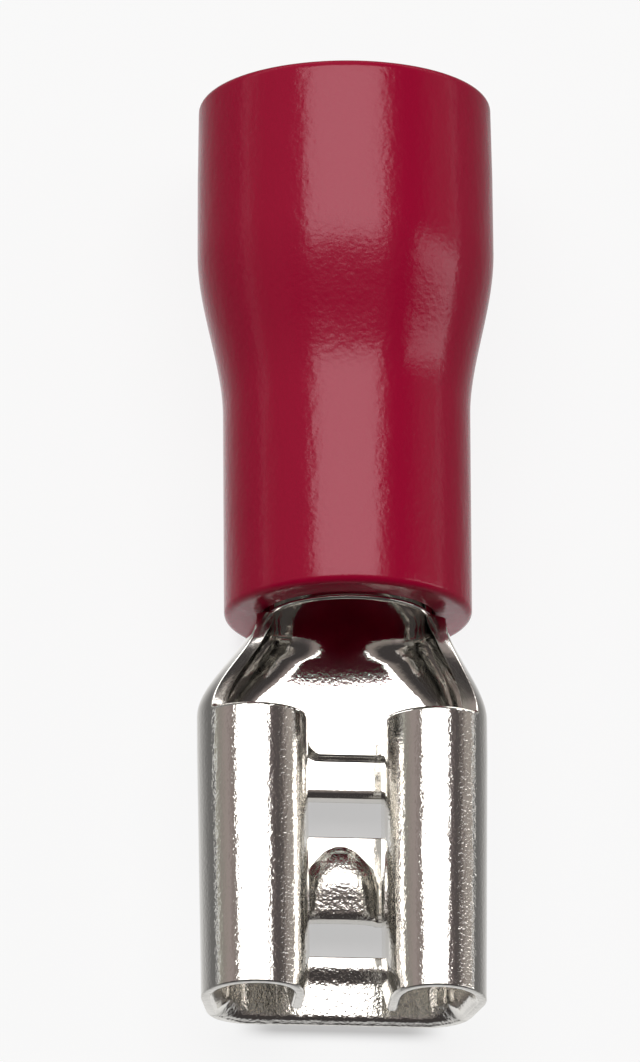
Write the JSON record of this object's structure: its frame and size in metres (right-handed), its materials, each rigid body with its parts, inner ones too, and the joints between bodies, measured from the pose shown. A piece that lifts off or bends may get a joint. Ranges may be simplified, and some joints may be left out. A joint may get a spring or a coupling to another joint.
{
  "type": "female spade terminal",
  "caption": "Insulated female spade terminal: a tinned sheet-metal receptacle with rolled sides slides over a flat tab, and a stepped red sleeve covers its crimp barrel.",
  "frame": {"origin": "on the wire barrel's axis, where its plain bore ends at the bevelled wire end", "axes": "+Y along the wire barrel's axis towards the wire entry, so the tab goes in at the -Y end; +Z out of the open top between the two rolls; X across the receptacle"},
  "size_m": [0.0062, 0.0194, 0.0062],
  "materials": {
    "tinned_brass": "bright tin plate over brass sheet",
    "tinned_copper": "bright tin plate over copper tube",
    "red_pvc": "semi-gloss moulded PVC with a fine grain"
  },
  "bodies": {
    "root": {"terminal": "tinned_brass", "wire_grip_sleeve": "tinned_copper", "insulation": "red_pvc"}
  },
  "joints": []
}
